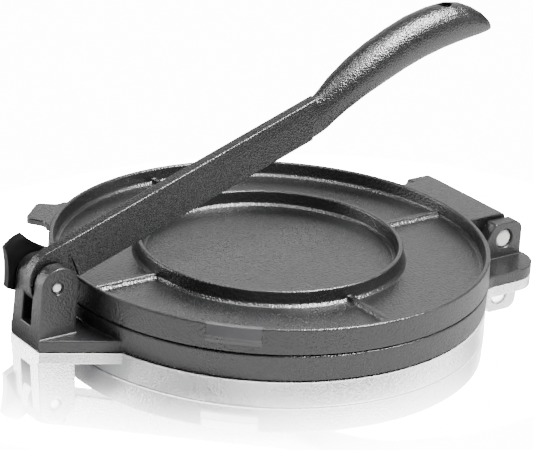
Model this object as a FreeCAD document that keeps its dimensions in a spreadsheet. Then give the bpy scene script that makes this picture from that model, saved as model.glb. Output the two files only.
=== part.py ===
import FreeCAD, Part
import math
import os
from types import SimpleNamespace

import Sketcher
from FreeCAD import Placement, Rotation, Vector

# Cast iron tortilla press: two round plates on a hinge, and a lever that presses them together.
# Frame: origin at the centre of the discs on the table, +X towards the hinge, -X towards the
# lever's pivot, +Y along both pivots, +Z up. Millimetres and degrees.

SIZES = {
    # The two plates
    "plate_radius": 130.3,      # outer radius at the parting face
    "plate_high": 15.2,         # height of each plate, rim included
    "plate_gap": 0.4,           # gap between the two pressing faces
    "web_thick": 6.2,           # metal behind each pressing face
    "outer_draft": 2.0,         # slope of the outer wall
    "inner_draft": 6.0,         # slope of the walls of the recesses
    "rim_top_wide": 2.7,        # width of the rim's flat top
    "parting_bevel": 0.6,       # broken edge beside the parting line
    "edge_bevel": 0.5,          # broken top edges of the rim and the ring
    "root_bevel": 1.6,          # widening where a rim or ring stands on the web
    "ring_radius": 77.2,        # middle of the inner ring
    "ring_top_wide": 2.8,
    "rib_rise": 3.0,            # height of the four ribs over the web
    "rib_top_wide": 2.8,
    "rib_foot_wide": 10.4,
    "bury": 12.0,               # how far lugs and tabs run into a plate's wall
    "overrun": 4.0,             # how far every cut runs past the metal
    # Lever lug and its two ears, on the base
    "lug_thick": 6.5,
    "pivot_out": 21.8,          # lever pivot beyond the plate's edge
    "pivot_high": 35.1,
    "nose": 12.2,               # lug end beyond the pivot
    "lever_lug_wide": 32.0,
    "lever_lug_flare": 28.6,    # angle at which the lug widens towards the plate
    "ear_gap": 10.6,            # gap that takes the lever's tongue
    "ear_gap_floor": 11.5,      # floor of that gap above the table
    "ear_gap_round": 0.8,
    "ear_foot_wide": 30.4,      # over both ears at the foot
    "ear_draft": 1.4,
    "ear_lean": 4.2,            # both ears lean towards the plate
    "ear_front": 12.9,          # ear edges from the pivot: towards the plate,
    "ear_back": 10.1,           # away from it,
    "ear_rise": 11.2,           # and upward
    "ear_foot_round": 2.0,
    "stud_sink": 1.0,           # the stud's end below the ear's face
    "stud_recess_radius": 3.8,
    "stud_recess_deep": 1.8,
    # Clamp stud and its knob with two wings
    "stud_radius": 2.85,
    "stud_chamfer": 0.5,
    "stud_grip": 5.0,           # length of stud held in the knob
    "running_fit": 0.08,        # radial clearance of a turning pin in its bore
    "seat_gap": 0.3,            # clearance of the knob's hub to the ear
    "hub_radius": 7.6,
    "hub_long": 0.7,
    "knob_radius": 22.9,        # out to the tips of the wings
    "knob_thick": 4.7,
    "knob_dome": 1.2,           # how far the outer face is domed
    "knob_chamfer": 0.8,
    "knob_bevel": 2.6,          # width of the bevel at the wing tips, towards the ear
    "knob_waist": 14.3,         # from the axis to the hollow flanks
    "flank_radius": 59.5,       # radius of those flanks
    "flank_turn": -120.0,       # from one flank of a wing to the other
    # Lever
    "lever_tilt": 19.3,         # the arm's slope when the press is closed
    "arm_rise": 16.1,           # top edge of the arm above the pivot,
    "arm_drop": 4.9,            # and its underside below it
    "tongue_radius": 17.7,      # the tongue's round end, tangent to the top edge,
    "tongue_ahead": 5.4,        # and its centre, from the pivot
    "tongue_top_wide": 6.9,
    "tongue_foot_wide": 8.6,
    "shoulder_at": 17.3,        # where the arm widens, from the pivot
    "arm_top_wide": 6.9,
    "arm_foot_wide": 15.2,
    "arm_edge_round": 0.8,
    "arm_end": 194.0,           # end of the arm's top edge, from the pivot
    "arm_end_slant": 12.0,      # how much earlier its lower edge ends
    "grip_from": 175.8,         # where the grip starts, hidden in the arm
    "grip_to": 326.2,           # tip of the grip
    "grip_high": 25.4,
    "grip_wide": 25.0,
    "grip_arch": 11.15,         # rise of the grip's middle line
    "hang_hole_at": 296.3,
    "hang_hole_radius": 4.4,
    # Hinge lug and its two ears, on the base
    "hinge_out": 14.7,          # pin beyond the plate's edge
    "hinge_high": 18.4,
    "hinge_lug_wide": 129.6,
    "hinge_lug_out": 16.0,      # lug end beyond the pin
    "hinge_lug_round": 20.0,
    "lug_flare": 7.0,           # widening of the hinge lug at the plate
    "lug_flare_round": 10.0,
    "hinge_ear_thick": 7.9,
    "hinge_ear_gap": 71.2,      # between the two ears
    "hinge_ear_front": 13.5,
    "hinge_ear_back": 7.5,
    "hinge_ear_foot_back": 23.0,
    "hinge_ear_rise": 10.4,
    "hinge_ear_round": 6.5,
    "hinge_ear_small_round": 1.5,
    "pin_radius": 5.5,
    "pin_fit": 0.02,            # radial play of the pin where it is held
    "pin_chamfer": 0.6,
    "pin_sink": 1.0,            # the pin's end below the ear's face
    "pin_recess_radius": 6.3,
    "pin_recess_deep": 1.8,
    # Hinge block, lift tab and gate pad, on the upper plate
    "block_side_gap": 2.2,      # between the block's end and the ear
    "block_out": 7.0,           # block's top edge beyond the pin
    "block_round": 2.5,
    "knuckle_radius": 9.9,
    "tab_turn": 134.5,
    "tab_reach": 15.0,
    "tab_root_wide": 29.0,
    "tab_end_wide": 25.0,
    "tab_flare": 5.0,
    "tab_thick": 3.6,
    "tab_below_rim": 0.7,
    "tab_round": 4.0,
    "tab_root_round": 5.0,
    "pad_turn": -133.5,
    "pad_span": 14.0,
    "pad_below_rim": 0.4,
    "pad_out": 2.1,             # how far the pad's lower edge stands out of the wall
    "pad_edge_down": 6.3,       # that edge below the rim's top
    "pad_foot_down": 9.3,
}

# A full round takes just under half the width that it crowns.
CROWN_SHARE = 0.97

# Grip sections from the arm to the tip: place along the grip, middle line over the arch,
# half height, half width, fullness of the lower corners, and narrowing towards the top.
GRIP_SHARES = (
    (0.0000, 0.000, 0.803, 0.424, 5.0, 0.37),
    (0.0665, 0.000, 0.811, 0.440, 5.0, 0.37),
    (0.0930, -0.010, 0.811, 0.500, 4.0, 0.25),
    (0.1260, 0.015, 0.812, 0.608, 3.0, 0.12),
    (0.1596, 0.118, 0.815, 0.712, 2.4, 0.04),
    (0.2260, 0.402, 0.891, 0.840, 2.1, 0.00),
    (0.3258, 0.721, 0.976, 0.960, 2.0, 0.00),
    (0.4255, 0.921, 1.045, 1.000, 2.0, 0.00),
    (0.5319, 1.054, 1.076, 1.000, 2.0, 0.00),
    (0.6316, 1.085, 1.101, 1.000, 2.0, 0.00),
    (0.7314, 0.968, 1.089, 0.984, 2.0, 0.00),
    (0.8112, 0.765, 1.054, 0.930, 2.0, 0.00),
    (0.8710, 0.487, 0.944, 0.840, 2.0, 0.00),
    (0.9176, 0.153, 0.767, 0.710, 2.0, 0.00),
    (0.9574, -0.207, 0.543, 0.520, 2.0, 0.00),
    (0.9807, -0.489, 0.331, 0.340, 2.0, 0.00),
)
TIP_SHARE = -0.746
SECTION_POINTS = 12


class Size:
    """A length or an angle: its value now and the words that bind it to the sheet."""

    def __init__(self, value, words):
        self.value = value
        self.words = words

    @staticmethod
    def of(thing):
        """The same size, or a plain number as a size."""
        return thing if isinstance(thing, Size) else Size(thing, repr(thing))

    def __add__(self, other):
        other = Size.of(other)
        return Size(self.value + other.value, f"({self.words} + {other.words})")

    def __radd__(self, other):
        return Size.of(other) + self

    def __sub__(self, other):
        other = Size.of(other)
        return Size(self.value - other.value, f"({self.words} - {other.words})")

    def __mul__(self, other):
        other = Size.of(other)
        return Size(self.value * other.value, f"({self.words} * {other.words})")

    def __truediv__(self, other):
        other = Size.of(other)
        return Size(self.value / other.value, f"({self.words} / {other.words})")

    def __neg__(self):
        return Size(-self.value, f"(-{self.words})")


def tan(angle):
    """Tangent of an angle in degrees."""
    return Size(math.tan(math.radians(angle.value)), f"tan({angle.words})")


def root(size):
    """Square root."""
    return Size(math.sqrt(size.value), f"sqrt({size.words})")


doc = FreeCAD.newDocument("tortilla_press")
sheet = doc.addObject("Spreadsheet::Sheet", "sizes")
for row, (alias, number) in enumerate(SIZES.items(), start=1):
    sheet.set(f"A{row}", alias)
    sheet.set(f"B{row}", str(number))
    sheet.setAlias(f"B{row}", alias)
doc.recompute()
S = SimpleNamespace(**{alias: Size(sheet.get(alias), f"sizes.{alias}") for alias in SIZES})


def origin_part(body, role):
    """One of a body's own origin planes or axes."""
    return next(item for item in body.Origin.OriginFeatures if item.Role == role)


def new_body(name):
    """An empty body whose label names its file."""
    body = doc.addObject("PartDesign::Body", name)
    body.Label = name
    return body


def new_sketch(body, name, plane, shift=None, turn=None, spin=Vector(0, 0, 1)):
    """A sketch on an origin plane, moved along its normal and turned if asked."""
    sketch = body.newObject("Sketcher::SketchObject", name)
    sketch.AttachmentSupport = [(origin_part(body, plane), "")]
    sketch.MapMode = "FlatFace"
    if turn is not None:
        sketch.AttachmentOffset = Placement(Vector(0, 0, 0), Rotation(spin, turn.value))
        sketch.setExpression("AttachmentOffset.Rotation.Angle", turn.words)
    if shift is not None:
        sketch.setExpression("AttachmentOffset.Base.z", shift.words)
    return sketch


def bind_point(sketch, item, end, x, y):
    """Tie a point of a sketch to its place in named sizes."""
    for kind, axis, place in (("DistanceX", -2, x), ("DistanceY", -1, y)):
        if isinstance(place, Size):
            index = sketch.addConstraint(Sketcher.Constraint(kind, -1, 1, item, end, place.value))
            sketch.setExpression(f"Constraints[{index}]", place.words)
        else:
            sketch.addConstraint(Sketcher.Constraint("PointOnObject", item, end, axis))


def bind_radius(sketch, item, radius):
    """Tie the radius of an arc or a circle to a size."""
    index = sketch.addConstraint(Sketcher.Constraint("Radius", item, radius.value))
    sketch.setExpression(f"Constraints[{index}]", radius.words)


def flat(place):
    """The value of a size, or zero."""
    return place.value if isinstance(place, Size) else 0.0


def arc_through(start, end, radius, anticlockwise):
    """The shorter arc of that radius from start to end."""
    chord = end - start
    side = Vector(-chord.y, chord.x, 0).normalize()
    rise = math.sqrt(max(radius ** 2 - chord.Length ** 2 / 4, 0.0))
    centre = (start + end) / 2 + side * (rise if anticlockwise else -rise)
    first, last = (start, end) if anticlockwise else (end, start)
    begin = math.atan2(first.y - centre.y, first.x - centre.x)
    stop = math.atan2(last.y - centre.y, last.x - centre.x)
    circle = Part.Circle(centre, Vector(0, 0, 1), radius)
    return Part.ArcOfCircle(circle, begin, stop if stop > begin else stop + 2 * math.pi)


def outline(sketch, corners, arcs=None):
    """Close a sketch through corners (x, y) or (x, y, round).

    arcs gives, for the side that follows a corner, (radius, anticlockwise).
    """
    arcs = arcs or {}
    count = len(corners)
    spots = [Vector(flat(corner[0]), flat(corner[1]), 0) for corner in corners]
    rounds = [corner[2] if len(corner) > 2 else None for corner in corners]
    entry, leave, mid = list(spots), list(spots), {}
    for i in range(count):
        if rounds[i] is None:
            continue
        back = (spots[i - 1] - spots[i]).normalize()
        ahead = (spots[(i + 1) % count] - spots[i]).normalize()
        half = back.getAngle(ahead) / 2
        reach = rounds[i].value / math.tan(half)
        entry[i] = spots[i] + back * reach
        leave[i] = spots[i] + ahead * reach
        mid[i] = (ahead.cross(back)).z > 0
    sides = []
    for i in range(count):
        start, end = leave[i], entry[(i + 1) % count]
        if i in arcs:
            radius, anticlockwise = arcs[i]
            item = sketch.addGeometry(arc_through(start, end, radius.value, anticlockwise), False)
            bind_radius(sketch, item, radius)
            sides.append((item, 1, 2) if anticlockwise else (item, 2, 1))
        else:
            sides.append((sketch.addGeometry(Part.LineSegment(start, end), False), 1, 2))
    for i in range(count):
        before, _, before_end = sides[i - 1]
        after, after_start, _ = sides[i]
        if rounds[i] is None:
            sketch.addConstraint(
                Sketcher.Constraint("Coincident", before, before_end, after, after_start))
            bind_point(sketch, after, after_start, corners[i][0], corners[i][1])
            continue
        arc = arc_through(entry[i], leave[i], rounds[i].value, mid[i])
        item = sketch.addGeometry(arc, False)
        start, end = (1, 2) if mid[i] else (2, 1)
        spot = sketch.addGeometry(Part.Point(spots[i]), True)
        bind_point(sketch, spot, 1, corners[i][0], corners[i][1])
        sketch.addConstraint(Sketcher.Constraint("PointOnObject", spot, 1, before))
        sketch.addConstraint(Sketcher.Constraint("PointOnObject", spot, 1, after))
        sketch.addConstraint(Sketcher.Constraint("Tangent", before, before_end, item, start))
        sketch.addConstraint(Sketcher.Constraint("Tangent", item, end, after, after_start))
        bind_radius(sketch, item, rounds[i])
    return sketch


def disc_sketch(sketch, x, y, radius):
    """Put one bound circle into a sketch."""
    circle = Part.Circle(Vector(flat(x), flat(y), 0), Vector(0, 0, 1), radius.value)
    item = sketch.addGeometry(circle, False)
    bind_point(sketch, item, 3, x, y)
    bind_radius(sketch, item, radius)
    return sketch


def extrude(kind, body, name, sketch, length, both=False, back=False):
    """A Pad or a Pocket of bound length; a Pocket has to remove metal."""
    before = body.Shape.Volume if not body.Shape.isNull() else 0.0
    feature = body.newObject(f"PartDesign::{kind}", name)
    feature.Profile = sketch
    feature.setExpression("Length", length.words)
    feature.Midplane = both
    feature.Reversed = back
    doc.recompute()
    if kind == "Pocket" and not feature.Shape.Volume < before:
        raise RuntimeError(f"{name} cuts nothing")
    return feature


def pad(body, name, sketch, length, both=False, back=False):
    """Raise a sketch into metal."""
    return extrude("Pad", body, name, sketch, length, both, back)


def pocket(body, name, sketch, length, both=False, back=False):
    """Cut a sketch out of the metal."""
    return extrude("Pocket", body, name, sketch, length, both, back)


def turned(kind, body, name, sketch, span=None):
    """A Revolution or a Groove about the body's upright axis."""
    before = body.Shape.Volume if not body.Shape.isNull() else 0.0
    feature = body.newObject(f"PartDesign::{kind}", name)
    feature.Profile = sketch
    feature.ReferenceAxis = (origin_part(body, "Z_Axis"), [""])
    if span is None:
        feature.Angle = 360
    else:
        feature.setExpression("Angle", span.words)
        feature.Midplane = True
    doc.recompute()
    if kind == "Groove" and not feature.Shape.Volume < before:
        raise RuntimeError(f"{name} cuts nothing")
    return feature


def repeat(kind, body, name, features, **settings):
    """Repeat features and make the repeat the body's tip."""
    pattern = body.newObject(f"PartDesign::{kind}", name)
    pattern.Originals = features
    for key, value in settings.items():
        setattr(pattern, key, value)
    body.Tip = pattern
    doc.recompute()
    return pattern


# Levels and radii that both plates share
rim_out = S.plate_radius - S.plate_high * tan(S.outer_draft)
rim_in = rim_out - S.rim_top_wide
recess_deep = S.plate_high - S.web_thick
rim_foot = rim_in - recess_deep * tan(S.inner_draft)
ring_out = S.ring_radius + S.ring_top_wide / 2
ring_in = S.ring_radius - S.ring_top_wide / 2
ring_out_foot = ring_out + recess_deep * tan(S.inner_draft)
ring_in_foot = ring_in - recess_deep * tan(S.inner_draft)
mouth = S.edge_bevel + S.overrun
mouth_low = S.plate_high - S.edge_bevel
mouth_slope = S.edge_bevel * tan(S.inner_draft)
root_top = S.web_thick + S.root_bevel
root_slope = S.root_bevel * tan(S.inner_draft)
lid_face = S.plate_high + S.plate_gap
lid_top = lid_face + S.plate_high
pivot_x = -(S.plate_radius + S.pivot_out)
pin_x = S.plate_radius + S.hinge_out


def plate_disc(body, level):
    """The plain disc with its drafted wall; level gives the height at a depth from the face."""
    outline(new_sketch(body, "disc_outline", "XZ_Plane"), (
        (0, level(0)),
        (S.plate_radius - S.parting_bevel, level(0)),
        (S.plate_radius - S.parting_bevel * tan(S.outer_draft), level(S.parting_bevel)),
        (rim_out + S.edge_bevel * tan(S.outer_draft), level(S.plate_high - S.edge_bevel)),
        (rim_out - S.edge_bevel, level(S.plate_high)),
        (0, level(S.plate_high)),
    ))
    return turned("Revolution", body, "disc", body.Group[-1])


def plate_recess(body, level):
    """Hollow the back of a plate: a channel inside the rim and a well inside the ring."""
    past = S.plate_high + S.overrun
    outline(new_sketch(body, "channel_outline", "XZ_Plane"), (
        (ring_out - mouth, level(past)),
        (ring_out + mouth_slope, level(mouth_low)),
        (ring_out_foot - root_slope, level(root_top)),
        (ring_out_foot + S.root_bevel, level(S.web_thick)),
        (rim_foot - S.root_bevel, level(S.web_thick)),
        (rim_foot + root_slope, level(root_top)),
        (rim_in - mouth_slope, level(mouth_low)),
        (rim_in + mouth, level(past)),
    ))
    turned("Groove", body, "channel", body.Group[-1])
    outline(new_sketch(body, "well_outline", "XZ_Plane"), (
        (0, level(past)),
        (0, level(S.web_thick)),
        (ring_in_foot - S.root_bevel, level(S.web_thick)),
        (ring_in_foot + root_slope, level(root_top)),
        (ring_in - mouth_slope, level(mouth_low)),
        (ring_in + mouth, level(past)),
    ))
    return turned("Groove", body, "well", body.Group[-1])


def plate_ribs(body, level):
    """Four ribs with hollow flanks between the ring and the rim."""
    top, foot = S.rib_top_wide / 2, S.rib_foot_wide / 2
    crest = level(S.web_thick + S.rib_rise)
    web = level(S.web_thick)
    root_level = level(S.web_thick / 2)
    flank = ((foot - top) * (foot - top) + S.rib_rise * S.rib_rise) / (S.rib_rise * 2)
    up = level(S.web_thick).value > level(0).value
    sketch = new_sketch(body, "rib_section", "YZ_Plane", shift=S.ring_radius)
    outline(sketch, (
        (foot, root_level),
        (foot, web),
        (top, crest),
        (-top, crest),
        (-foot, web),
        (-foot, root_level),
    ), arcs={1: (flank, not up), 3: (flank, not up)})
    rib = pad(body, "rib", sketch, rim_in + S.rim_top_wide / 2 - S.ring_radius)
    return repeat("PolarPattern", body, "ribs", [rib], Axis=(origin_part(body, "Z_Axis"), [""]),
                  Angle=360, Occurrences=4)


# Base plate: the lower disc, hollow below, with the lever's lug and ears and the hinge's
base_plate = new_body("base_plate")


def base_level(depth):
    """Height of a point that lies that deep below the base's pressing face."""
    return S.plate_high - depth


plate_disc(base_plate, base_level)

lug_in = S.plate_radius - S.bury
lug_in_half = S.lever_lug_wide / 2 + (S.pivot_out + S.nose + S.bury) * tan(S.lever_lug_flare)
lever_lug = outline(new_sketch(base_plate, "lever_lug_outline", "XY_Plane"), (
    (pivot_x - S.nose, S.lever_lug_wide / 2),
    (pivot_x - S.nose, -(S.lever_lug_wide / 2)),
    (-lug_in, -lug_in_half),
    (-lug_in, lug_in_half),
))
pad(base_plate, "lever_lug", lever_lug, S.lug_thick)

hinge_half = S.hinge_lug_wide / 2
hinge_edge = root(S.plate_radius * S.plate_radius - hinge_half * hinge_half)
hinge_lug = outline(new_sketch(base_plate, "hinge_lug_outline", "XY_Plane"), (
    (hinge_edge - S.bury, -(hinge_half + S.lug_flare)),
    (hinge_edge + S.lug_flare, -hinge_half, S.lug_flare_round),
    (pin_x + S.hinge_lug_out, -hinge_half, S.hinge_lug_round),
    (pin_x + S.hinge_lug_out, hinge_half, S.hinge_lug_round),
    (hinge_edge + S.lug_flare, hinge_half, S.lug_flare_round),
    (hinge_edge - S.bury, hinge_half + S.lug_flare),
))
pad(base_plate, "hinge_lug", hinge_lug, S.lug_thick)

# Lever ears: a drafted, leaning fork, crowned over the pivot and open between
fork_foot = S.lug_thick / 2
crown = S.pivot_high + S.ear_rise
fork_top = crown + S.overrun
ear_half = S.ear_foot_wide / 2
ear_half_top = ear_half - (fork_top - fork_foot) * tan(S.ear_draft)
gap_half = S.ear_gap / 2
fork = outline(new_sketch(base_plate, "fork_section", "YZ_Plane", shift=pivot_x - S.nose), (
    (-ear_half, fork_foot),
    (ear_half, fork_foot),
    (ear_half_top, fork_top),
    (gap_half, fork_top),
    (gap_half, S.ear_gap_floor, S.ear_gap_round),
    (-gap_half, S.ear_gap_floor, S.ear_gap_round),
    (-gap_half, fork_top),
    (-ear_half_top, fork_top),
))
lean_top = S.ear_rise * tan(S.ear_lean)
lean_foot = (S.pivot_high - S.lug_thick) * tan(S.ear_lean)
pad(base_plate, "fork", fork, S.nose + S.ear_front + lean_top + S.ear_foot_round)
crown_round = (S.ear_front + S.ear_back) * CROWN_SHARE / 2
crown_cut = outline(new_sketch(base_plate, "crown_outline", "XZ_Plane"), (
    (pivot_x - S.nose - S.overrun, S.lug_thick),
    (pivot_x - S.nose, S.lug_thick),
    (pivot_x - S.ear_back + lean_top, crown, crown_round),
    (pivot_x + S.ear_front + lean_top, crown, crown_round),
    (pivot_x + S.ear_front - lean_foot, S.lug_thick, S.ear_foot_round),
    (pivot_x + S.ear_front + S.overrun, S.lug_thick),
    (pivot_x + S.ear_front + S.overrun, fork_top + S.overrun),
    (pivot_x - S.nose - S.overrun, fork_top + S.overrun),
))
pocket(base_plate, "crown", crown_cut, S.ear_foot_wide + S.overrun, both=True)
stud_bore = disc_sketch(new_sketch(base_plate, "stud_bore_outline", "XZ_Plane"),
                        pivot_x, S.pivot_high, S.stud_radius + S.running_fit)
pocket(base_plate, "stud_bore", stud_bore, S.ear_foot_wide + S.overrun, both=True)
ear_face = ear_half - (S.pivot_high - fork_foot) * tan(S.ear_draft)
stud_recess = disc_sketch(
    new_sketch(base_plate, "stud_recess_outline", "XZ_Plane", shift=ear_face - S.stud_recess_deep),
    pivot_x, S.pivot_high, S.stud_recess_radius)
pocket(base_plate, "stud_recess", stud_recess, S.stud_recess_deep + S.overrun, back=True)

# Hinge ears: a sloping back that meets the plate, a bore for the pin and a sunk face round it
hinge_ear_face = S.hinge_ear_gap / 2 + S.hinge_ear_thick
hinge_ear_top = S.hinge_high + S.hinge_ear_rise
hinge_ear = outline(
    new_sketch(base_plate, "hinge_ear_outline", "XZ_Plane", shift=S.hinge_ear_gap / 2), (
        (pin_x - S.hinge_ear_foot_back, fork_foot),
        (pin_x + S.hinge_ear_front, fork_foot),
        (pin_x + S.hinge_ear_front, hinge_ear_top, S.hinge_ear_round),
        (pin_x - S.hinge_ear_back, hinge_ear_top, S.hinge_ear_small_round),
    ))
near_ear = pad(base_plate, "hinge_ear", hinge_ear, S.hinge_ear_thick)
pin_hole = disc_sketch(
    new_sketch(base_plate, "pin_hole_outline", "XZ_Plane", shift=hinge_ear_face + S.overrun),
    pin_x, S.hinge_high, S.pin_radius + S.pin_fit)
near_hole = pocket(base_plate, "pin_hole", pin_hole, S.hinge_ear_thick + S.overrun * 2)
pin_recess = disc_sketch(
    new_sketch(base_plate, "pin_recess_outline", "XZ_Plane", shift=hinge_ear_face + S.overrun),
    pin_x, S.hinge_high, S.pin_recess_radius)
near_recess = pocket(base_plate, "pin_recess", pin_recess, S.pin_recess_deep + S.overrun)
repeat("Mirrored", base_plate, "hinge_ears", [near_ear, near_hole, near_recess],
       MirrorPlane=(origin_part(base_plate, "XZ_Plane"), [""]))

plate_recess(base_plate, base_level)
plate_ribs(base_plate, base_level)

# Upper plate: the lid, with its hinge block, lift tab and the pad left by the casting's gate
upper_plate = new_body("upper_plate")


def lid_level(height):
    """Height of a point that lies that far above the lid's pressing face."""
    return lid_face + height


plate_disc(upper_plate, lid_level)
block_wide = S.hinge_ear_gap - S.block_side_gap * 2
block = outline(new_sketch(upper_plate, "block_outline", "XZ_Plane"), (
    (lug_in, lid_face),
    (pin_x, lid_face),
    (pin_x + S.knuckle_radius, S.hinge_high),
    (pin_x + S.block_out, lid_top, S.block_round),
    (lug_in, lid_top),
))
pad(upper_plate, "block", block, block_wide, both=True)
knuckle = disc_sketch(new_sketch(upper_plate, "knuckle_outline", "XZ_Plane"),
                      pin_x, S.hinge_high, S.knuckle_radius)
pad(upper_plate, "knuckle", knuckle, block_wide, both=True)
pin_bore = disc_sketch(new_sketch(upper_plate, "pin_bore_outline", "XZ_Plane"),
                       pin_x, S.hinge_high, S.pin_radius + S.running_fit)
pocket(upper_plate, "pin_bore", pin_bore, block_wide + S.overrun, both=True)

tab_top = lid_top - S.tab_below_rim
tab_half, tab_end_half = S.tab_root_wide / 2, S.tab_end_wide / 2
tab = outline(
    new_sketch(upper_plate, "tab_outline", "XY_Plane", shift=tab_top - S.tab_thick,
               turn=S.tab_turn), (
        (lug_in, -(tab_half + S.tab_flare)),
        (S.plate_radius, -(tab_half + S.tab_flare)),
        (S.plate_radius + S.tab_flare / 2, -tab_half, S.tab_root_round),
        (S.plate_radius + S.tab_reach, -tab_end_half, S.tab_round),
        (S.plate_radius + S.tab_reach, tab_end_half, S.tab_round),
        (S.plate_radius + S.tab_flare / 2, tab_half, S.tab_root_round),
        (S.plate_radius, tab_half + S.tab_flare),
        (lug_in, tab_half + S.tab_flare),
    ))
pad(upper_plate, "tab", tab, S.tab_thick)

pad_foot = S.plate_radius - (S.plate_high - S.pad_foot_down) * tan(S.outer_draft)
pad_edge = S.plate_radius - (S.plate_high - S.pad_edge_down) * tan(S.outer_draft) + S.pad_out
gate = outline(
    new_sketch(upper_plate, "gate_outline", "XZ_Plane", turn=S.pad_turn, spin=Vector(0, 1, 0)), (
        (rim_in + S.rim_top_wide / 2, lid_top - S.pad_foot_down),
        (pad_foot, lid_top - S.pad_foot_down),
        (pad_edge, lid_top - S.pad_edge_down),
        (rim_out, lid_top - S.pad_below_rim),
        (rim_in + S.rim_top_wide / 2, lid_top - S.pad_below_rim),
    ))
turned("Revolution", upper_plate, "gate_pad", gate, span=S.pad_span)

plate_recess(upper_plate, lid_level)
plate_ribs(upper_plate, lid_level)

# Hinge pin: a plain rod with chamfered ends, sunk into the ears
hinge_pin = new_body("hinge_pin")
pin_half = hinge_ear_face - S.pin_sink
rod = outline(new_sketch(hinge_pin, "pin_profile", "XY_Plane"), (
    (0, -pin_half),
    (S.pin_radius - S.pin_chamfer, -pin_half),
    (S.pin_radius, -(pin_half - S.pin_chamfer)),
    (S.pin_radius, pin_half - S.pin_chamfer),
    (S.pin_radius - S.pin_chamfer, pin_half),
    (0, pin_half),
))
pin_turn = hinge_pin.newObject("PartDesign::Revolution", "pin_rod")
pin_turn.Profile = rod
pin_turn.ReferenceAxis = (rod, ["V_Axis"])
pin_turn.Angle = 360
hinge_pin.setExpression("Placement.Base.x", pin_x.words)
hinge_pin.setExpression("Placement.Base.z", S.hinge_high.words)

# Clamp knob and stud, turning about the lever's pivot
hub_from = ear_face + S.hub_radius * tan(S.ear_draft) + S.seat_gap
knob_from = hub_from + S.hub_long
knob_to = knob_from + S.knob_thick
stud_to = hub_from + S.stud_grip
clamp_knob = new_body("clamp_knob")
knob_profile = outline(new_sketch(clamp_knob, "knob_profile", "XY_Plane"), (
    (0, stud_to),
    (S.stud_radius + S.pin_fit, stud_to),
    (S.stud_radius + S.pin_fit, hub_from),
    (S.hub_radius, hub_from),
    (S.hub_radius, knob_from),
    (S.knob_radius - S.knob_bevel, knob_from),
    (S.knob_radius, knob_from + S.knob_bevel / 2),
    (S.knob_radius, knob_to - S.knob_chamfer),
    (S.knob_radius - S.knob_chamfer, knob_to),
    (S.hub_radius, knob_to + S.knob_dome),
    (0, knob_to + S.knob_dome),
))
knob_turn = clamp_knob.newObject("PartDesign::Revolution", "knob_disc")
knob_turn.Profile = knob_profile
knob_turn.ReferenceAxis = (knob_profile, ["V_Axis"])
knob_turn.Angle = 360
doc.recompute()
flank_away = S.knob_waist + S.flank_radius
flank_deep = (knob_to + S.overrun) * 2
left_flank = disc_sketch(new_sketch(clamp_knob, "left_flank_outline", "XZ_Plane"),
                         -flank_away, 0, S.flank_radius)
left_hollow = pocket(clamp_knob, "left_flank", left_flank, flank_deep, both=True)
right_flank = disc_sketch(
    new_sketch(clamp_knob, "right_flank_outline", "XZ_Plane", turn=S.flank_turn),
    -flank_away, 0, S.flank_radius)
right_hollow = pocket(clamp_knob, "right_flank", right_flank, flank_deep, both=True)
repeat("PolarPattern", clamp_knob, "wings", [left_hollow, right_hollow],
       Axis=(origin_part(clamp_knob, "Y_Axis"), [""]), Angle=360, Occurrences=2)
clamp_knob.setExpression("Placement.Base.x", pivot_x.words)
clamp_knob.setExpression("Placement.Base.z", S.pivot_high.words)

lever_stud = new_body("lever_stud")
stud_from = ear_face - S.stud_sink
stud_profile = outline(new_sketch(lever_stud, "stud_profile", "XY_Plane"), (
    (0, -stud_from),
    (S.stud_radius - S.stud_chamfer, -stud_from),
    (S.stud_radius, -(stud_from - S.stud_chamfer)),
    (S.stud_radius, stud_to),
    (0, stud_to),
))
stud_turn = lever_stud.newObject("PartDesign::Revolution", "stud_rod")
stud_turn.Profile = stud_profile
stud_turn.ReferenceAxis = (stud_profile, ["V_Axis"])
stud_turn.Angle = 360
lever_stud.setExpression("Placement.Base.x", pivot_x.words)
lever_stud.setExpression("Placement.Base.z", S.pivot_high.words)

# Lever: a drafted arm with a rounded tongue at the pivot, in its own frame along +X
arm = new_body("lever_arm")
arm_section = outline(new_sketch(arm, "arm_section", "YZ_Plane", shift=S.shoulder_at), (
    (-(S.arm_foot_wide / 2), -S.arm_drop, S.arm_edge_round),
    (S.arm_foot_wide / 2, -S.arm_drop, S.arm_edge_round),
    (S.arm_top_wide / 2, S.arm_rise, S.arm_edge_round),
    (-(S.arm_top_wide / 2), S.arm_rise, S.arm_edge_round),
))
pad(arm, "arm_bar", arm_section, S.arm_end - S.shoulder_at)
end_rise = S.arm_rise + S.arm_drop
slant = S.arm_end_slant / end_rise
arm_end_cut = outline(new_sketch(arm, "arm_end_outline", "XZ_Plane"), (
    (S.arm_end - S.arm_end_slant - slant * S.overrun, -(S.arm_drop + S.overrun)),
    (S.arm_end + S.overrun, -(S.arm_drop + S.overrun)),
    (S.arm_end + S.overrun, S.arm_rise + S.overrun),
    (S.arm_end + slant * S.overrun, S.arm_rise + S.overrun),
))
pocket(arm, "arm_end_cut", arm_end_cut, S.arm_foot_wide + S.overrun, both=True)
tongue_section = outline(new_sketch(arm, "tongue_section", "YZ_Plane", shift=-S.tongue_radius), (
    (-(S.tongue_foot_wide / 2), -S.arm_drop),
    (S.tongue_foot_wide / 2, -S.arm_drop),
    (S.tongue_top_wide / 2, S.arm_rise),
    (-(S.tongue_top_wide / 2), S.arm_rise),
))
pad(arm, "tongue", tongue_section, S.tongue_radius + S.shoulder_at + S.arm_edge_round)
foot_drop = end_rise - S.tongue_radius
tongue_back = root(S.tongue_radius * S.tongue_radius - foot_drop * foot_drop) - S.tongue_ahead
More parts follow.
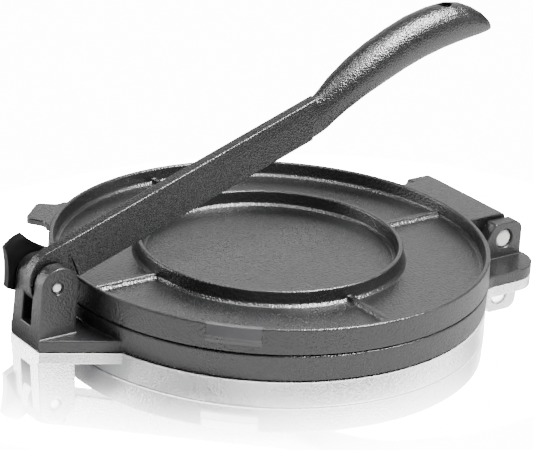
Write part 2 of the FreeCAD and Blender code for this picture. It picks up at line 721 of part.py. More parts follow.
tongue_cut = outline(new_sketch(arm, "tongue_outline", "XZ_Plane"), (
    (S.tongue_ahead, S.arm_rise),
    (S.tongue_ahead, S.arm_rise + S.overrun),
    (-(S.tongue_radius + S.overrun), S.arm_rise + S.overrun),
    (-(S.tongue_radius + S.overrun), -(S.arm_drop + S.overrun)),
    (-tongue_back, -(S.arm_drop + S.overrun)),
    (-tongue_back, -S.arm_drop),
), arcs={5: (S.tongue_radius, False)})
pocket(arm, "tongue_round", tongue_cut, S.tongue_foot_wide + S.overrun, both=True)
lever_bore = disc_sketch(new_sketch(arm, "lever_bore_outline", "XZ_Plane"), 0, 0,
                         S.stud_radius + S.running_fit)
pocket(arm, "lever_bore", lever_bore, S.tongue_foot_wide + S.overrun, both=True)


def grip_section(along, centre, high, wide, fullness, narrowing):
    """A closed oval across the grip: full in its lower corners, narrowed to its top."""
    start = S.grip_from.value
    reach = S.grip_to.value - start
    middle = (S.arm_rise.value - S.arm_drop.value) / 2 + centre * S.grip_arch.value
    points = []
    for i in range(SECTION_POINTS):
        angle = 2 * math.pi * i / SECTION_POINTS
        up, out = math.sin(angle), math.cos(angle)
        power = 2 / fullness if up < 0 else 1.0
        rise = math.copysign(abs(up) ** power, up)
        side = math.copysign(abs(out) ** power, out) * (1 - narrowing * rise)
        points.append(Vector(start + along * reach, side * wide * S.grip_wide.value / 2,
                             middle + rise * high * S.grip_high.value / 2))
    curve = Part.BSplineCurve()
    steps = [i / SECTION_POINTS for i in range(SECTION_POINTS + 1)]
    curve.interpolate(Points=points, PeriodicFlag=True, Parameters=steps)
    return Part.Wire(curve.toShape())


tip = Vector(S.grip_to.value, 0,
             (S.arm_rise.value - S.arm_drop.value) / 2 + TIP_SHARE * S.grip_arch.value)
grip = doc.addObject("Part::Feature", "grip")
grip.Shape = Part.makeLoft([grip_section(*row) for row in GRIP_SHARES] + [Part.Vertex(tip)],
                           True, True)
hang_hole = doc.addObject("Part::Cylinder", "hang_hole")
hang_hole.setExpression("Radius", S.hang_hole_radius.words)
hang_hole.setExpression("Height", (S.grip_high + S.overrun + S.grip_high).words)
hang_hole.setExpression("Placement.Base.x", S.hang_hole_at.words)
hang_hole.setExpression("Placement.Base.z", (-S.overrun).words)
lever_solid = doc.addObject("Part::Fuse", "lever_solid")
lever_solid.Base = arm
lever_solid.Tool = grip
lever = doc.addObject("Part::Cut", "lever")
lever.Base = lever_solid
lever.Tool = hang_hole
lever.Label = "lever"
lever.Placement = Placement(Vector(0, 0, 0), Rotation(Vector(0, -1, 0), S.lever_tilt.value))
lever.setExpression("Placement.Base.x", pivot_x.words)
lever.setExpression("Placement.Base.z", S.pivot_high.words)
lever.setExpression("Placement.Rotation.Angle", S.lever_tilt.words)

# Check everything, then write one file for each piece
doc.recompute()
SUBPARTS = (base_plate, upper_plate, hinge_pin, lever, clamp_knob, lever_stud)
for item in doc.Objects:
    if "Invalid" in item.State or "Error" in item.State:
        raise RuntimeError(f"{item.Name} failed: {item.State}")
os.makedirs("parts", exist_ok=True)
for subpart in SUBPARTS:
    shape = subpart.Shape
    if shape.isNull() or not shape.isValid() or len(shape.Solids) != 1:
        raise RuntimeError(f"{subpart.Label} isn't one valid solid")
for subpart in SUBPARTS:
    subpart.Shape.exportStep(f"parts/{subpart.Label}.step")
    box = subpart.Shape.BoundBox
    print(f"{subpart.Label}: {subpart.Shape.Volume / 1000:.1f} cm3, "
          f"x {box.XMin:.1f} to {box.XMax:.1f}, y {box.YMin:.1f} to {box.YMax:.1f}, "
          f"z {box.ZMin:.1f} to {box.ZMax:.1f}")
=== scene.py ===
"""A cast iron tortilla press: its finishes, its smooth skin, and a plain pale studio."""
import logging
import math
from dataclasses import dataclass
from enum import Enum
from typing import Iterable, Optional, Union

import bpy
from mathutils import Matrix, Vector

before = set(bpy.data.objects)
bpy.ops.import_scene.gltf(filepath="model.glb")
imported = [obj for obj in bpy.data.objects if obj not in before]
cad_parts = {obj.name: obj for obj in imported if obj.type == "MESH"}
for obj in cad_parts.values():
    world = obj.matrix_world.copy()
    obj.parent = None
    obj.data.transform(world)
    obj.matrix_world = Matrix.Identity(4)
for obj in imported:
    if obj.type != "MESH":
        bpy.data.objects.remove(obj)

log = logging.getLogger("tortilla_press")

Colour = tuple[float, float, float, float]
Place = tuple[float, float, float]
Operand = Union[bpy.types.NodeSocket, float, tuple]

# A Mix node's factor and its two colours, and the colour that it puts out, by their index.
MIX_FACTOR, MIX_LOW, MIX_HIGH = 0, 6, 7
MIX_RESULT = 2


class Piece(Enum):
    """The pieces of the press, by the names that the frame gives them."""

    BASE_PLATE = "base_plate"
    UPPER_PLATE = "upper_plate"
    LEVER = "lever"
    HINGE_PIN = "hinge_pin"
    LEVER_STUD = "lever_stud"
    CLAMP_KNOB = "clamp_knob"


def grey(level: float) -> Colour:
    """An even grey, white at one and brighter than white above it."""
    return (level, level, level, 1.0)


def feed(tree: bpy.types.NodeTree, sockets: Iterable[bpy.types.NodeSocket],
         operands: Iterable[Optional[Operand]]) -> None:
    """Link or set inputs in their order.

    Args:
        tree: The tree that the inputs belong to.
        sockets: The inputs.
        operands: A socket to link, a value to set, or None to leave the input alone.
    """
    for socket, operand in zip(sockets, operands):
        if isinstance(operand, bpy.types.NodeSocket):
            tree.links.new(operand, socket)
        elif operand is not None:
            socket.default_value = operand


def maths(tree: bpy.types.NodeTree, operation: str, first: Operand,
          second: Optional[Operand] = None, third: Optional[Operand] = None,
          clamp: bool = False) -> bpy.types.NodeSocket:
    """Add a Math node whose operands are sockets or numbers.

    Args:
        tree: The tree to add it to.
        operation: The node's operation, such as MULTIPLY.
        first: First operand.
        second: Second operand, where the operation has one.
        third: Third operand, where the operation has one.
        clamp: Whether the result stays between zero and one.

    Returns:
        The node's output socket.
    """
    node = tree.nodes.new("ShaderNodeMath")
    node.operation = operation
    node.use_clamp = clamp
    feed(tree, node.inputs, (first, second, third))
    return node.outputs["Value"]


def vector_maths(tree: bpy.types.NodeTree, operation: str, first: Operand,
                 second: Optional[Operand] = None) -> bpy.types.Node:
    """Add a Vector Math node whose operands are sockets or vectors.

    Args:
        tree: The tree to add it to.
        operation: The node's operation, such as ADD.
        first: First operand.
        second: Second operand, where the operation has one.

    Returns:
        The node, because some operations put out a vector and others a value.
    """
    node = tree.nodes.new("ShaderNodeVectorMath")
    node.operation = operation
    feed(tree, node.inputs, (first, second))
    return node


def noise(tree: bpy.types.NodeTree, vector: bpy.types.NodeSocket, scale: Operand,
          detail: float, roughness: float) -> bpy.types.Node:
    """Add a Noise Texture node.

    Args:
        tree: The tree to add it to.
        vector: The coordinates that it reads.
        scale: Its scale, as a socket or a number.
        detail: How many octaves it has.
        roughness: How strong the finer octaves are.

    Returns:
        The node.
    """
    node = tree.nodes.new("ShaderNodeTexNoise")
    sockets = [node.inputs[label] for label in ("Vector", "Scale", "Detail", "Roughness")]
    feed(tree, sockets, (vector, scale, detail, roughness))
    return node


def group_tree(name: str, inputs: dict[str, float], outputs: dict[str, str]
               ) -> tuple[bpy.types.NodeTree, bpy.types.Node, bpy.types.Node]:
    """Start a shader node group with named inputs and outputs.

    Args:
        name: The group's name.
        inputs: Default of each float input, by name.
        outputs: Socket type of each output, by name.

    Returns:
        The tree, its Group Input node and its Group Output node.
    """
    tree = bpy.data.node_groups.new(name, "ShaderNodeTree")
    tree.interface.new_socket("Vector", in_out="INPUT", socket_type="NodeSocketVector")
    for label, value in inputs.items():
        socket = tree.interface.new_socket(label, in_out="INPUT", socket_type="NodeSocketFloat")
        socket.default_value = value
    for label, kind in outputs.items():
        tree.interface.new_socket(label, in_out="OUTPUT", socket_type=kind)
    return tree, tree.nodes.new("NodeGroupInput"), tree.nodes.new("NodeGroupOutput")


@dataclass(frozen=True)
class CastingGrain:
    """The pebbled skin that a sand mould leaves: rounded grains, finer grit and pits."""

    scale: float = 800.0
    grit: float = 0.35
    stretch: float = 0.4
    warp_share: float = 0.5
    warp_detail: float = 1.0
    warp_roughness: float = 0.5
    smoothness: float = 0.55
    grit_share: float = 1.7
    grit_detail: float = 1.0
    grit_roughness: float = 0.5
    pit_gain: float = 2.2
    pit_start: float = -0.7

    def build(self) -> bpy.types.NodeTree:
        """Build the group.

        Returns:
            A group that puts out a height and a mask of the pits.
        """
        tree, entry, leave = group_tree(
            "casting_grain",
            {"Scale": self.scale, "Grit": self.grit, "Stretch": self.stretch},
            {"Height": "NodeSocketFloat", "Pits": "NodeSocketFloat"})
        links = tree.links
        spot, scale = entry.outputs["Vector"], entry.outputs["Scale"]
        warp = noise(tree, spot, maths(tree, "MULTIPLY", scale, self.warp_share),
                     self.warp_detail, self.warp_roughness)
        shift = vector_maths(tree, "SCALE", warp.outputs["Color"])
        links.new(maths(tree, "DIVIDE", entry.outputs["Stretch"], scale), shift.inputs["Scale"])
        moved = vector_maths(tree, "ADD", spot, shift.outputs["Vector"])
        grains = tree.nodes.new("ShaderNodeTexVoronoi")
        grains.feature = "SMOOTH_F1"
        feed(tree, [grains.inputs[label] for label in ("Vector", "Scale", "Smoothness")],
             (moved.outputs["Vector"], scale, self.smoothness))
        grit = noise(tree, spot, maths(tree, "MULTIPLY", scale, self.grit_share),
                     self.grit_detail, self.grit_roughness)
        rounded = maths(tree, "SUBTRACT", 1.0, grains.outputs["Distance"])
        rough = maths(tree, "MULTIPLY", grit.outputs["Fac"], entry.outputs["Grit"])
        links.new(maths(tree, "ADD", rounded, rough), leave.inputs["Height"])
        pits = maths(tree, "MULTIPLY_ADD", grains.outputs["Distance"], self.pit_gain,
                     self.pit_start, clamp=True)
        links.new(pits, leave.inputs["Pits"])
        return tree


@dataclass(frozen=True)
class HandlingTone:
    """Slow changes of tone over a surface, from seasoning, dust and hands."""

    scale: float = 18.0
    contrast: float = 1.6
    detail: float = 4.0
    roughness: float = 0.55
    middle: float = 0.5

    def build(self) -> bpy.types.NodeTree:
        """Build the group.

        Returns:
            A group that puts out a factor around one half.
        """
        tree, entry, leave = group_tree(
            "handling_tone", {"Scale": self.scale, "Contrast": self.contrast},
            {"Tone": "NodeSocketFloat"})
        cloud = noise(tree, entry.outputs["Vector"], entry.outputs["Scale"], self.detail,
                      self.roughness)
        centred = maths(tree, "SUBTRACT", cloud.outputs["Fac"], self.middle)
        spread = maths(tree, "MULTIPLY", centred, entry.outputs["Contrast"])
        tree.links.new(maths(tree, "ADD", spread, self.middle, clamp=True),
                       leave.inputs["Tone"])
        return tree


@dataclass(frozen=True)
class RubbedEdges:
    """Soft, rubbed edges: a rounded normal, and a broken mask where the rounding turns it."""

    radius: float = 0.0008
    gain: float = 3.0
    samples: int = 8
    break_scale: float = 150.0
    break_detail: float = 3.0
    break_roughness: float = 0.5

    def build(self) -> bpy.types.NodeTree:
        """Build the group.

        Returns:
            A group that puts out the rounded normal and the mask of the edges.
        """
        tree, entry, leave = group_tree(
            "rubbed_edges", {"Radius": self.radius, "Gain": self.gain},
            {"Normal": "NodeSocketVector", "Edge": "NodeSocketFloat"})
        links = tree.links
        rounded = tree.nodes.new("ShaderNodeBevel")
        rounded.samples = self.samples
        links.new(entry.outputs["Radius"], rounded.inputs["Radius"])
        links.new(rounded.outputs["Normal"], leave.inputs["Normal"])
        surface = tree.nodes.new("ShaderNodeNewGeometry")
        turn = vector_maths(tree, "DOT_PRODUCT", rounded.outputs["Normal"],
                            surface.outputs["Normal"])
        bend = maths(tree, "SUBTRACT", 1.0, turn.outputs["Value"])
        broken = noise(tree, entry.outputs["Vector"], self.break_scale, self.break_detail,
                       self.break_roughness)
        gain = maths(tree, "MULTIPLY", entry.outputs["Gain"], broken.outputs["Fac"])
        links.new(maths(tree, "MULTIPLY", bend, gain, clamp=True), leave.inputs["Edge"])
        return tree


@dataclass(frozen=True)
class GroundPatch:
    """A mask of the ground, ragged-ended patch on the gate pad in a plate's outer wall."""

    half_width: float = 0.0155
    radius: float = 0.126
    floor: float = 0.02
    ragged: float = 0.003
    ragged_scale: float = 420.0
    ragged_detail: float = 2.0
    ragged_roughness: float = 0.5
    middle: float = 0.5

    def build(self) -> bpy.types.NodeTree:
        """Build the group.

        Returns:
            A group that puts out one inside the patch and zero outside it.
        """
        tree, entry, leave = group_tree(
            "ground_patch",
            {"Turn": 0.0, "Half Width": self.half_width, "Radius": self.radius,
             "Floor": self.floor, "Ragged": self.ragged},
            {"Mask": "NodeSocketFloat"})
        links = tree.links
        turned = tree.nodes.new("ShaderNodeVectorRotate")
        turned.rotation_type = "Z_AXIS"
        turned.invert = True
        links.new(entry.outputs["Vector"], turned.inputs["Vector"])
        links.new(entry.outputs["Turn"], turned.inputs["Angle"])
        parts = tree.nodes.new("ShaderNodeSeparateXYZ")
        links.new(turned.outputs["Vector"], parts.inputs["Vector"])
        wander = noise(tree, entry.outputs["Vector"], self.ragged_scale, self.ragged_detail,
                       self.ragged_roughness)
        centred = maths(tree, "SUBTRACT", wander.outputs["Fac"], self.middle)
        ragged = maths(tree, "MULTIPLY", centred, entry.outputs["Ragged"])
        aside = maths(tree, "ADD", maths(tree, "ABSOLUTE", parts.outputs["Y"]), ragged)
        inside = maths(tree, "LESS_THAN", aside, entry.outputs["Half Width"])
        outer = maths(tree, "GREATER_THAN", parts.outputs["X"], entry.outputs["Radius"])
        high = maths(tree, "GREATER_THAN", parts.outputs["Z"], entry.outputs["Floor"])
        links.new(maths(tree, "MULTIPLY", inside, maths(tree, "MULTIPLY", outer, high)),
                  leave.inputs["Mask"])
        return tree


@dataclass(frozen=True)
class SharedEffects:
    """The node groups that the finishes place, built once."""

    grain: bpy.types.NodeTree
    tone: bpy.types.NodeTree
    edges: bpy.types.NodeTree
    patch: bpy.types.NodeTree

    @classmethod
    def build(cls) -> "SharedEffects":
        """Build every shared group."""
        return cls(grain=CastingGrain().build(), tone=HandlingTone().build(),
                   edges=RubbedEdges().build(), patch=GroundPatch().build())


class Finish:
    """Common work of every finish: a material with one Principled shader."""

    name: str

    def start(self) -> tuple[bpy.types.Material, bpy.types.Node, bpy.types.NodeSocket]:
        """Make the material and its shader.

        Returns:
            The material, its Principled shader and its Object coordinates.
        """
        material = bpy.data.materials.new(self.name)
        material.use_nodes = True
        nodes = material.node_tree.nodes
        shader = next(node for node in nodes if node.type == "BSDF_PRINCIPLED")
        return material, shader, nodes.new("ShaderNodeTexCoord").outputs["Object"]

    def place(self, tree: bpy.types.NodeTree, group: bpy.types.NodeTree,
              spot: bpy.types.NodeSocket, **values: float) -> bpy.types.Node:
        """Place a shared group in a material with its own values.

        Args:
            tree: The material's node tree.
            group: The shared group.
            spot: The coordinates that the group reads.
            **values: The group's inputs, by name.

        Returns:
            The group node.
        """
        node = tree.nodes.new("ShaderNodeGroup")
        node.node_tree = group
        tree.links.new(spot, node.inputs["Vector"])
        for label, value in values.items():
            node.inputs[label].default_value = value
        return node

    def blend_colours(self, tree: bpy.types.NodeTree, factor: bpy.types.NodeSocket,
                      low: Operand, high: Operand) -> bpy.types.NodeSocket:
        """Mix two colours by a factor.

        Args:
            tree: The material's node tree.
            factor: Zero gives the first colour, one the second.
            low: First colour.
            high: Second colour.

        Returns:
            The mixed colour's socket.
        """
        mix = tree.nodes.new("ShaderNodeMix")
        mix.data_type = "RGBA"
        sockets = [mix.inputs[index] for index in (MIX_FACTOR, MIX_LOW, MIX_HIGH)]
        feed(tree, sockets, (factor, low, high))
        return mix.outputs[MIX_RESULT]

    def raise_relief(self, tree: bpy.types.NodeTree, shader: bpy.types.Node,
                     height: bpy.types.NodeSocket, strength: float, depth: float,
                     normal: Optional[bpy.types.NodeSocket] = None) -> None:
        """Bump the shader's normal.

        Args:
            tree: The material's node tree.
            shader: The Principled shader.
            height: The relief's height, between about zero and one.
            strength: How strongly the relief turns the normal.
            depth: How deep the relief is, in metres.
            normal: The normal to start from, or None for the surface's own.
        """
        bump = tree.nodes.new("ShaderNodeBump")
        sockets = [bump.inputs[label] for label in ("Strength", "Distance", "Height", "Normal")]
        feed(tree, sockets, (strength, depth, height, normal))
        tree.links.new(bump.outputs["Normal"], shader.inputs["Normal"])


@dataclass(frozen=True)
class CastIronSkin(Finish):
    """Seasoned grey iron with the pebbled skin of its mould. Lengths are in metres."""

    effects: SharedEffects
    name: str = "cast_iron_base"
    dark: Colour = (0.0038, 0.0039, 0.0043, 1.0)
    light: Colour = (0.0092, 0.0094, 0.0103, 1.0)
    rubbed: Colour = (0.055, 0.055, 0.057, 1.0)
    tone_scale: float = 16.0
    tone_contrast: float = 1.4
    # Painted shade: how much darker the colour is made in the pits between the grains.
    pit_painted_shade: float = -0.6
    rough_low: float = 0.24
    rough_high: float = 0.32
    rough_edge: float = -0.04
    rough_pits: float = 0.12
    grain_scale: float = 780.0
    grain_depth: float = 0.00034
    grain_mean: float = 0.7
    grit: float = 0.22
    strength: float = 0.75
    edge_radius: float = 0.0015
    edge_gain: float = 3.0
    edge_calm: float = 5.3
    ior: float = 1.88
    ground: Colour = (0.058, 0.058, 0.061, 1.0)
    ground_flat: float = 0.85
    ground_turn: Optional[float] = None

    def material(self) -> bpy.types.Material:
        """Build the material.

        Returns:
            The iron, with a ground patch where the finish has one.
        """
        material, shader, spot = self.start()
        tree = material.node_tree
        grain = self.place(tree, self.effects.grain, spot, Scale=self.grain_scale,
                           Grit=self.grit)
        tone = self.place(tree, self.effects.tone, spot, Scale=self.tone_scale,
                          Contrast=self.tone_contrast)
        edges = self.place(tree, self.effects.edges, spot, Radius=self.edge_radius,
                           Gain=self.edge_gain)
        pits, edge = grain.outputs["Pits"], edges.outputs["Edge"]
        # Painted shade in the pits between the grains, laid over the random handling tone.
        shade = maths(tree, "MULTIPLY_ADD", pits, self.pit_painted_shade, tone.outputs["Tone"],
                      clamp=True)
        iron = self.blend_colours(tree, shade, self.dark, self.light)
        colour = self.blend_colours(tree, edge, iron, self.rubbed)
        calm = maths(tree, "MULTIPLY_ADD", edge, -self.edge_calm, 1.0, clamp=True)
        centred = maths(tree, "SUBTRACT", grain.outputs["Height"], self.grain_mean)
        height = maths(tree, "MULTIPLY_ADD", centred, calm, self.grain_mean)
        if self.ground_turn is not None:
            patch = self.place(tree, self.effects.patch, spot, Turn=self.ground_turn)
            colour = self.blend_colours(tree, patch.outputs["Mask"], colour, self.ground)
            kept = maths(tree, "MULTIPLY_ADD", patch.outputs["Mask"], -self.ground_flat, 1.0)
            height = maths(tree, "MULTIPLY", height, kept)
        tree.links.new(colour, shader.inputs["Base Color"])
        spread = maths(tree, "MULTIPLY_ADD", tone.outputs["Tone"],
                       self.rough_high - self.rough_low, self.rough_low)
        pitted = maths(tree, "MULTIPLY_ADD", pits, self.rough_pits, spread)
        tree.links.new(maths(tree, "MULTIPLY_ADD", edge, self.rough_edge, pitted),
                       shader.inputs["Roughness"])
        shader.inputs["IOR"].default_value = self.ior
        self.raise_relief(tree, shader, height, self.strength, self.grain_depth,
                          edges.outputs["Normal"])
        return material


@dataclass(frozen=True)
class LidIronSkin(CastIronSkin):
    """The lid's iron, with the ground patch where the mould's gate was."""

    name: str = "cast_iron_lid"
    ground_turn: Optional[float] = math.radians(-133.5)


@dataclass(frozen=True)
class LeverIronSkin(CastIronSkin):
    """The lever's iron, finer and a little glossier than the plates'."""

    name: str = "cast_iron_lever"
    rough_low: float = 0.22
    rough_high: float = 0.29
    grain_scale: float = 1050.0
    grain_depth: float = 0.00030
    strength: float = 0.85
    edge_radius: float = 0.0011


@dataclass(frozen=True)
class FineFinish(Finish):
    """A finish with a slow change of tone, a fine relief and one gloss."""

    effects: SharedEffects
    name: str
    dark: Colour
    light: Colour
    tone_scale: float
    tone_contrast: float
    grain_scale: float
    grit: float
    roughness: float
    rough_pits: float
    strength: float
    grain_depth: float
    ior: float
    metallic: float

    def material(self) -> bpy.types.Material:
        """Build the material.

        Returns:
            The material.
        """
        material, shader, spot = self.start()
        tree = material.node_tree
        tone = self.place(tree, self.effects.tone, spot, Scale=self.tone_scale,
                          Contrast=self.tone_contrast)
        tree.links.new(self.blend_colours(tree, tone.outputs["Tone"], self.dark, self.light),
                       shader.inputs["Base Color"])
        grain = self.place(tree, self.effects.grain, spot, Scale=self.grain_scale,
                           Grit=self.grit)
        rough = maths(tree, "MULTIPLY_ADD", grain.outputs["Pits"], self.rough_pits,
                      self.roughness)
        tree.links.new(rough, shader.inputs["Roughness"])
        shader.inputs["IOR"].default_value = self.ior
        shader.inputs["Metallic"].default_value = self.metallic
        self.raise_relief(tree, shader, grain.outputs["Height"], self.strength,
                          self.grain_depth)
        return material


@dataclass(frozen=True)
class TurnedSteel(FineFinish):
    """Turned steel rod with a fine relief, painted near-white with little metallic gloss: a
    painted highlight standing in for the bright reflection on its ends.
    """

    name: str = "turned_steel"
    # Painted highlight: near-white, warm colours stand in for the reflection on the steel ends.
    dark: Colour = (0.80, 0.79, 0.77, 1.0)
    light: Colour = (0.98, 0.97, 0.95, 1.0)
    tone_scale: float = 240.0
    tone_contrast: float = 1.8
    grain_scale: float = 2600.0
    grit: float = 0.8
    roughness: float = 0.26
    rough_pits: float = 0.12
    strength: float = 0.3
    grain_depth: float = 0.00003
    ior: float = 1.5
    metallic: float = 0.15


@dataclass(frozen=True)
class MouldedPlastic(FineFinish):
    """Black moulded plastic with a fine spark-eroded grain."""

    name: str = "moulded_plastic"
    dark: Colour = (0.0012, 0.0012, 0.0013, 1.0)
    light: Colour = (0.0032, 0.0032, 0.0035, 1.0)
    tone_scale: float = 60.0
    tone_contrast: float = 1.2
    grain_scale: float = 2400.0
    grit: float = 0.5
    roughness: float = 0.38
    rough_pits: float = 0.15
    strength: float = 0.35
    grain_depth: float = 0.00004
    ior: float = 1.36
    metallic: float = 0.0


@dataclass
class SmoothSkin:
    """Joins a piece's loose triangles and shades it smooth up to its real edges."""

    merge: float = 0.00002
    edge_degrees: float = 32.0
    tree: Optional[bpy.types.NodeTree] = None

    def build(self) -> bpy.types.NodeTree:
        """Build the geometry tree once.

        Returns:
            The tree, with the merging distance and the edge angle as named inputs.
        """
        if self.tree is not None:
            return self.tree
        tree = bpy.data.node_groups.new("smooth_skin", "GeometryNodeTree")
        face = tree.interface
        face.new_socket("Geometry", in_out="INPUT", socket_type="NodeSocketGeometry")
        merge = face.new_socket("Merge Distance", in_out="INPUT", socket_type="NodeSocketFloat")
        merge.default_value = self.merge
        edge = face.new_socket("Edge Angle", in_out="INPUT", socket_type="NodeSocketFloat")
        edge.default_value = math.radians(self.edge_degrees)
        face.new_socket("Geometry", in_out="OUTPUT", socket_type="NodeSocketGeometry")
        nodes, links = tree.nodes, tree.links
        entry, leave = nodes.new("NodeGroupInput"), nodes.new("NodeGroupOutput")
        join = nodes.new("GeometryNodeMergeByDistance")
        links.new(entry.outputs["Geometry"], join.inputs["Geometry"])
        links.new(entry.outputs["Merge Distance"], join.inputs["Distance"])
        smooth = nodes.new("GeometryNodeSetShadeSmooth")
        smooth.domain = "FACE"
        links.new(join.outputs["Geometry"], smooth.inputs["Geometry"])
        angle = nodes.new("GeometryNodeInputMeshEdgeAngle")
        sharp = nodes.new("FunctionNodeCompare")
        sharp.data_type = "FLOAT"
        sharp.operation = "GREATER_THAN"
        links.new(angle.outputs["Unsigned Angle"], sharp.inputs["A"])
        links.new(entry.outputs["Edge Angle"], sharp.inputs["B"])
        crease = nodes.new("GeometryNodeSetShadeSmooth")
        crease.domain = "EDGE"
        crease.inputs["Shade Smooth"].default_value = False
        links.new(smooth.outputs["Geometry"], crease.inputs["Geometry"])
        links.new(sharp.outputs["Result"], crease.inputs["Selection"])
        links.new(crease.outputs["Geometry"], leave.inputs["Geometry"])
        self.tree = tree
        return tree

    def cover(self, piece: bpy.types.Object) -> None:
        """Put the smooth skin on a piece of the frame."""
        skin = piece.modifiers.new("smooth_skin", "NODES")
        skin.node_group = self.build()


def dress_node(piece: Piece, material: bpy.types.Material, skin: SmoothSkin) -> None:
    """Give a piece of the frame its material and its smooth skin.

    Args:
        piece: Which piece.
        material: Its finish.
        skin: The smooth skin to cover it with.
    """
    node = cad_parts[piece.value]
    if not node.material_slots:
        node.data.materials.append(material)
    for slot in node.material_slots:
        slot.material = material
    skin.cover(node)
    log.info("%s is dressed in %s", piece.value, material.name)


@dataclass
class Castings:
    """The three iron castings: both plates and the lever."""

    effects: SharedEffects
    skin: SmoothSkin

    def dress(self) -> None:
        """Give each casting its own iron and the smooth skin."""
        for piece, finish in ((Piece.BASE_PLATE, CastIronSkin), (Piece.UPPER_PLATE, LidIronSkin),
                              (Piece.LEVER, LeverIronSkin)):
            dress_node(piece, finish(self.effects).material(), self.skin)


@dataclass
class Fittings:
    """The turned steel rods and the moulded knob."""

    effects: SharedEffects
    skin: SmoothSkin

    def dress(self) -> None:
        """Give the pin, the stud and the knob their finishes."""
        steel = TurnedSteel(self.effects).material()
        plastic = MouldedPlastic(self.effects).material()
        for piece, material in ((Piece.HINGE_PIN, steel), (Piece.LEVER_STUD, steel),
                                (Piece.CLAMP_KNOB, plastic)):
            dress_node(piece, material, self.skin)


@dataclass(frozen=True)
class SoftBox:
    """A soft rectangular light: its place and size in metres, and its power in watts."""

    name: str
    place: Place
    wide: float
    high: float
    power: float

    def hang(self, aim: Vector) -> None:
        """Hang the light.

        Args:
            aim: The point that it faces.
        """
        data = bpy.data.lights.new(self.name, "AREA")
        data.shape = "RECTANGLE"
        data.size, data.size_y = self.wide, self.high
        data.energy = self.power
        light = bpy.data.objects.new(self.name, data)
        light.location = self.place
        light.rotation_euler = (aim - light.location).to_track_quat("-Z", "Y").to_euler()
        bpy.context.scene.collection.objects.link(light)


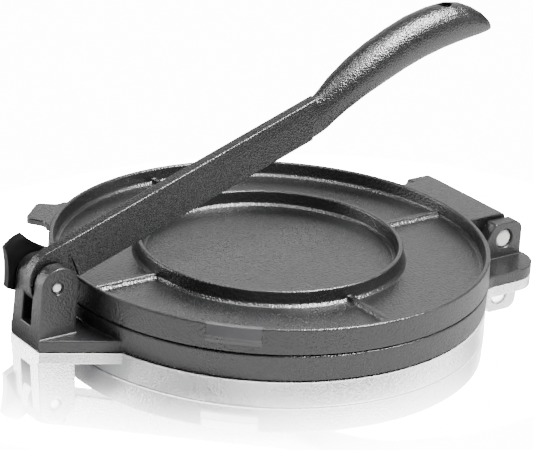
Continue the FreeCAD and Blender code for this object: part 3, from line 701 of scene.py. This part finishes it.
@dataclass
class Studio:
    """A pale glossy floor in a white room, soft boxes, and the photograph's camera.

    Lengths are in metres, angles in degrees and places in the photograph in pixels.
    """

    eye: Place = (-0.77060, -1.05410, 0.56550)
    azimuth: float = -36.09
    elevation: float = 21.97
    roll: float = 3.25
    focal_pixels: float = 2398.4
    photo_wide: float = 533.0
    photo_high: float = 450.0
    centre_x: float = 267.58
    centre_y: float = 225.12
    film_wide: float = 36.0
    nearest: float = 0.05
    farthest: float = 50.0
    floor_drop: float = 0.0004
    floor_half: float = 6.0
    plate_reach: float = 0.130
    lug_reach: float = 0.165
    mirror_reach: float = 0.082
    mirror_fall: float = 1.8
    mirror_gain: float = 29.0
    mirror_roughness: float = 0.03
    bounce: float = 0.42
    room_light: float = 0.09
    white: float = 14.5
    aim: Place = (0.0, 0.0, 0.05)
    soft_boxes: tuple[SoftBox, ...] = (
        SoftBox("key", place=(0.42, -0.55, 1.40), wide=0.5, high=0.5, power=84.0),
        SoftBox("overhead", place=(-0.35, 0.1, 1.45), wide=0.4, high=0.4, power=9.0),
        SoftBox("backdrop", place=(1.64, 2.25, 0.98), wide=2.6, high=1.35, power=17.0),
        SoftBox("left", place=(-1.1, 1.0, 0.8), wide=0.6, high=0.6, power=10.0),
        SoftBox("low_left", place=(-1.35, 1.5, 0.13), wide=0.9, high=0.22, power=9.0),
        SoftBox("front", place=(-1.8, -2.45, 1.2), wide=2.0, high=1.2, power=3.5),
        SoftBox("right", place=(2.2, -1.2, 0.9), wide=1.6, high=1.0, power=4.0),
    )

    def camera(self) -> None:
        """Set the camera where the photograph was taken from."""
        turn, rise = math.radians(self.azimuth), math.radians(self.elevation)
        back = Vector((math.sin(turn) * math.cos(rise), -math.cos(turn) * math.cos(rise),
                       math.sin(rise)))
        side = Vector((0.0, 0.0, 1.0)).cross(back).normalized()
        over = back.cross(side)
        lean = math.radians(self.roll)
        across = side * math.cos(lean) + over * math.sin(lean)
        upward = over * math.cos(lean) - side * math.sin(lean)
        data = bpy.data.cameras.new("photo_camera")
        data.sensor_width = self.film_wide
        data.lens = self.focal_pixels * self.film_wide / self.photo_wide
        data.shift_x = -(self.centre_x - self.photo_wide / 2) / self.photo_wide
        data.shift_y = (self.centre_y - self.photo_high / 2) / self.photo_wide
        data.clip_start, data.clip_end = self.nearest, self.farthest
        camera = bpy.data.objects.new("photo_camera", data)
        turned = Matrix((across, upward, back)).transposed().to_4x4()
        camera.matrix_world = Matrix.Translation(self.eye) @ turned
        bpy.context.scene.collection.objects.link(camera)
        bpy.context.scene.camera = camera

    def near_press(self, tree: bpy.types.NodeTree) -> bpy.types.NodeSocket:
        """How near a point of the floor is to the press.

        Args:
            tree: The floor's node tree.

        Returns:
            One under the plates, falling ever faster to zero at the mirror's reach.
        """
        spot = tree.nodes.new("ShaderNodeTexCoord").outputs["Object"]
        squeeze = vector_maths(tree, "MULTIPLY", spot,
                               (self.plate_reach / self.lug_reach, 1.0, 0.0))
        away = vector_maths(tree, "LENGTH", squeeze.outputs["Vector"])
        past = maths(tree, "SUBTRACT", away.outputs["Value"], self.plate_reach)
        share = maths(tree, "DIVIDE", past, self.mirror_reach, clamp=True)
        return maths(tree, "SUBTRACT", 1.0, maths(tree, "POWER", share, self.mirror_fall))

    def floor_material(self) -> bpy.types.Material:
        """A white acrylic sheet that mirrors the press near its foot.

        Returns:
            The material. The camera sees glow and mirror, other rays a matt white.
        """
        material = bpy.data.materials.new("white_acrylic")
        material.use_nodes = True
        tree = material.node_tree
        tree.nodes.clear()
        mirror = tree.nodes.new("ShaderNodeBsdfGlossy")
        mirror.inputs["Roughness"].default_value = self.mirror_roughness
        mirror.inputs["Color"].default_value = grey(self.mirror_gain)
        glow = tree.nodes.new("ShaderNodeEmission")
        glow.inputs["Strength"].default_value = self.white
        matt = tree.nodes.new("ShaderNodeBsdfDiffuse")
        matt.inputs["Color"].default_value = grey(self.bounce)
        path = tree.nodes.new("ShaderNodeLightPath")
        seen, sheet = (tree.nodes.new("ShaderNodeMixShader") for _ in range(2))
        feed(tree, seen.inputs,
             (self.near_press(tree), glow.outputs["Emission"], mirror.outputs["BSDF"]))
        feed(tree, sheet.inputs,
             (path.outputs["Is Camera Ray"], matt.outputs["BSDF"], seen.outputs["Shader"]))
        leave = tree.nodes.new("ShaderNodeOutputMaterial")
        tree.links.new(sheet.outputs["Shader"], leave.inputs["Surface"])
        return material

    def floor(self) -> None:
        """Lay the floor just under the press."""
        mesh = bpy.data.meshes.new("floor")
        reach, low = self.floor_half, -self.floor_drop
        mesh.from_pydata([(-reach, -reach, low), (reach, -reach, low), (reach, reach, low),
                          (-reach, reach, low)], [], [(0, 1, 2, 3)])
        mesh.materials.append(self.floor_material())
        floor = bpy.data.objects.new("floor", mesh)
        bpy.context.scene.collection.objects.link(floor)

    def room(self) -> None:
        """Set a white room that the camera sees bright and that lights the press dimly."""
        world = bpy.data.worlds.new("white_room")
        world.use_nodes = True
        tree = world.node_tree
        walls = tree.nodes["Background"]
        walls.inputs["Color"].default_value = grey(1.0)
        path = tree.nodes.new("ShaderNodeLightPath")
        level = tree.nodes.new("ShaderNodeMapRange")
        sockets = [level.inputs[label] for label in ("Value", "To Min", "To Max")]
        feed(tree, sockets, (path.outputs["Is Camera Ray"], self.room_light, self.white))
        tree.links.new(level.outputs["Result"], walls.inputs["Strength"])
        bpy.context.scene.world = world

    def build(self) -> None:
        """Build the whole studio."""
        self.camera()
        self.floor()
        self.room()
        for soft_box in self.soft_boxes:
            soft_box.hang(Vector(self.aim))
        log.info("the studio is ready")


def main() -> None:
    """Dress the press and set up the studio."""
    logging.basicConfig(level=logging.INFO, format="%(name)s: %(message)s")
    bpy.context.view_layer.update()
    effects = SharedEffects.build()
    skin = SmoothSkin()
    Castings(effects, skin).dress()
    Fittings(effects, skin).dress()
    Studio().build()


if __name__ == "__main__":
    main()
